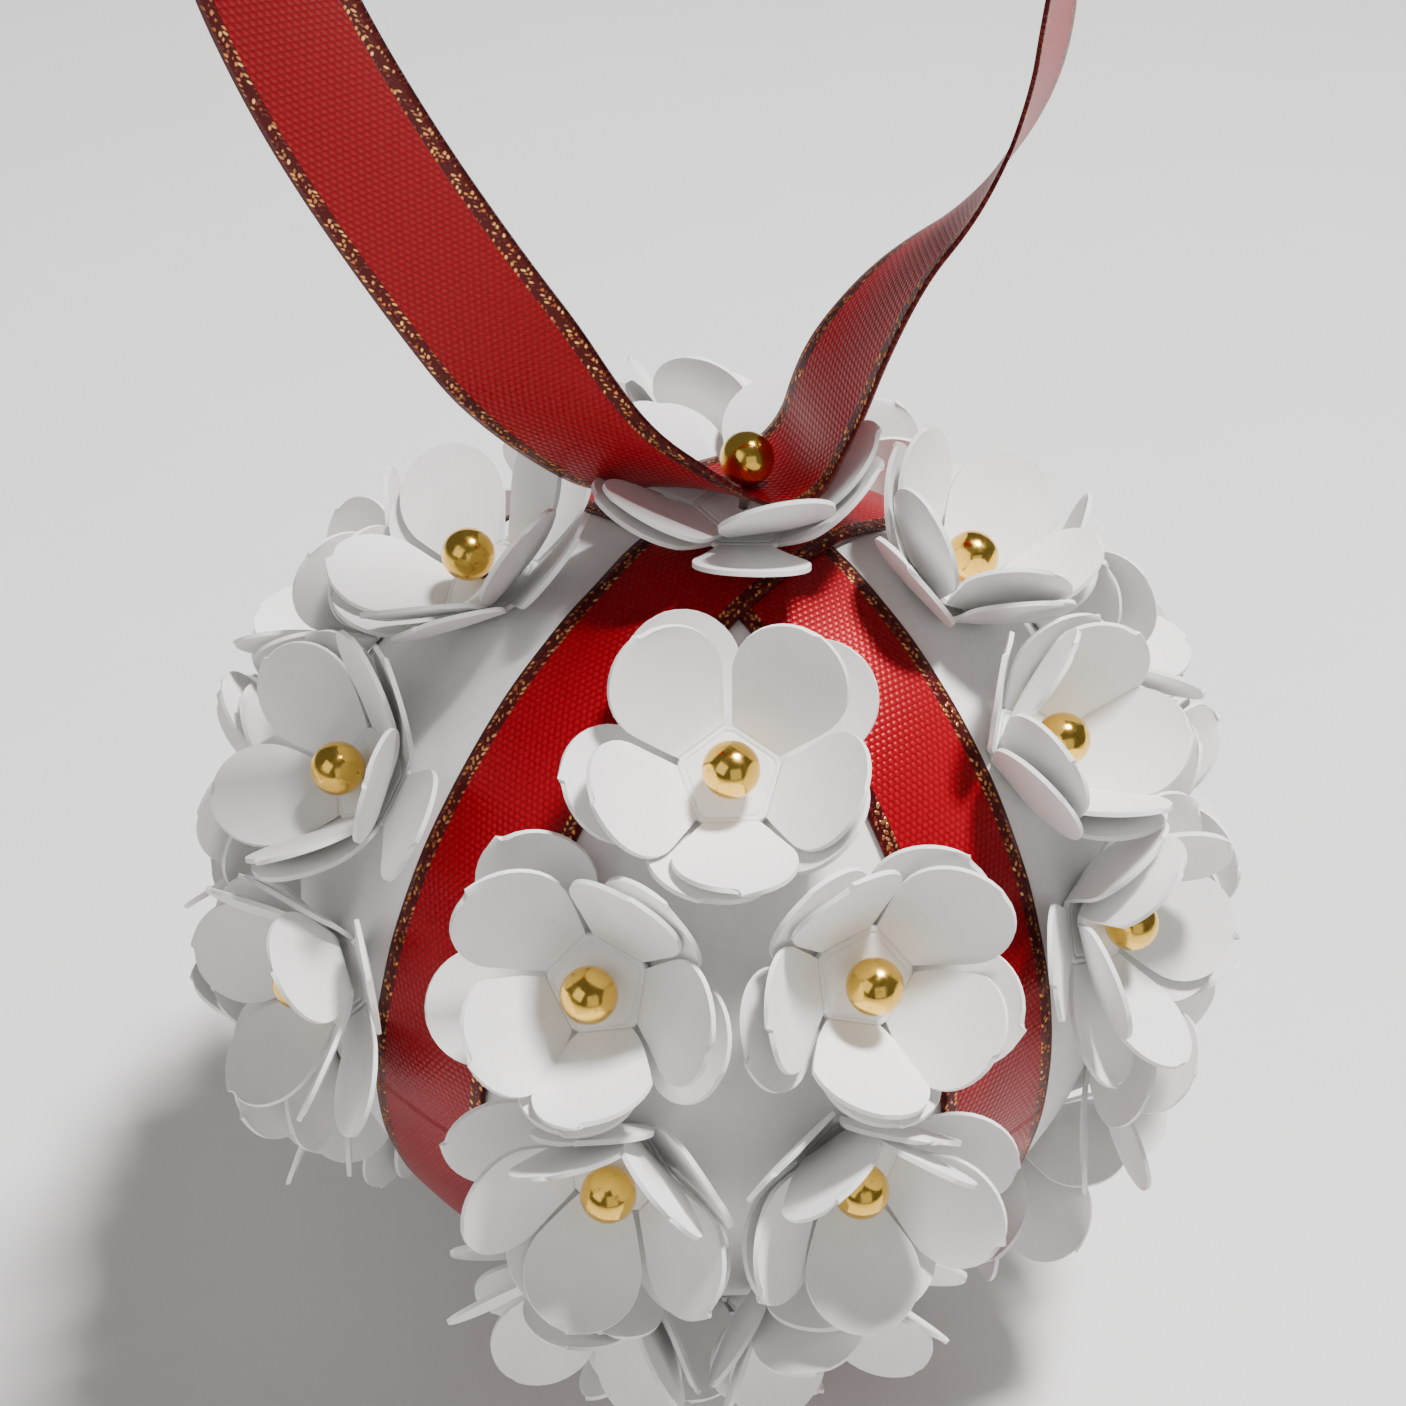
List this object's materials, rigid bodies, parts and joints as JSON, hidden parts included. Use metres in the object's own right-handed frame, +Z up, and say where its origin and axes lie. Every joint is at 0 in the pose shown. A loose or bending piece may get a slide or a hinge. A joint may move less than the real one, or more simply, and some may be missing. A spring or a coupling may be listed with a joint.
{
  "type": "kusudama style paper flower ball",
  "caption": "Round foam ball covered with folded double card flowers on ball-headed pins, wound with crossing satin ribbons and hung from a ribbon loop",
  "frame": {"origin": "the hanging point, inside the top of the ribbon loop, straight above the middle of the ball", "axes": "+Z up through the ball's poles; -Y is the front, where the narrow gore between the two ribbon bands faces; +X is to the right"},
  "size_m": [0.0761, 0.0769, 0.1436],
  "materials": {
    "foam": "matt expanded foam",
    "band_satin": "satin with glittering gold edges",
    "loop_satin": "satin with glittering gold edges",
    "flower_pin_gold": "polished",
    "hanger_pin_gold": "polished",
    "inner_card": "matt white card",
    "outer_card": "matt white card"
  },
  "bodies": {
    "root": {"back_1_flower_inner": "inner_card", "back_1_flower_outer": "outer_card", "back_2_flower_inner": "inner_card", "back_2_flower_outer": "outer_card", "back_3_flower_inner": "inner_card", "back_3_flower_outer": "outer_card", "back_4_flower_inner": "inner_card", "back_4_flower_outer": "outer_card", "back_5_flower_inner": "inner_card", "back_5_flower_outer": "outer_card", "flower_pins": "flower_pin_gold", "foam_ball": "foam", "front_1_flower_inner": "inner_card", "front_1_flower_outer": "outer_card", "front_2_flower_inner": "inner_card", "front_2_flower_outer": "outer_card", "front_3_flower_inner": "inner_card", "front_3_flower_outer": "outer_card", "front_4_flower_inner": "inner_card", "front_4_flower_outer": "outer_card", "front_5_flower_inner": "inner_card", "front_5_flower_outer": "outer_card", "hanger_pin": "hanger_pin_gold", "hanging_ribbon": "loop_satin", "left_1_flower_inner": "inner_card", "left_1_flower_outer": "outer_card", "left_2_flower_inner": "inner_card", "left_2_flower_outer": "outer_card", "left_3_flower_inner": "inner_card", "left_3_flower_outer": "outer_card", "left_4_flower_inner": "inner_card", "left_4_flower_outer": "outer_card", "left_5_flower_inner": "inner_card", "left_5_flower_outer": "outer_card", "left_6_flower_inner": "inner_card", "left_6_flower_outer": "outer_card", "left_7_flower_inner": "inner_card", "left_7_flower_outer": "outer_card", "ribbon_band_inner": "band_satin", "ribbon_band_outer": "band_satin", "right_1_flower_inner": "inner_card", "right_1_flower_outer": "outer_card", "right_2_flower_inner": "inner_card", "right_2_flower_outer": "outer_card", "right_3_flower_inner": "inner_card", "right_3_flower_outer": "outer_card", "right_4_flower_inner": "inner_card", "right_4_flower_outer": "outer_card", "right_5_flower_inner": "inner_card", "right_5_flower_outer": "outer_card", "right_6_flower_inner": "inner_card", "right_6_flower_outer": "outer_card", "right_7_flower_inner": "inner_card", "right_7_flower_outer": "outer_card", "top_flower_inner": "inner_card", "top_flower_outer": "outer_card", "under_flowers_inner": "inner_card", "under_flowers_outer": "outer_card"}
  },
  "joints": []
}
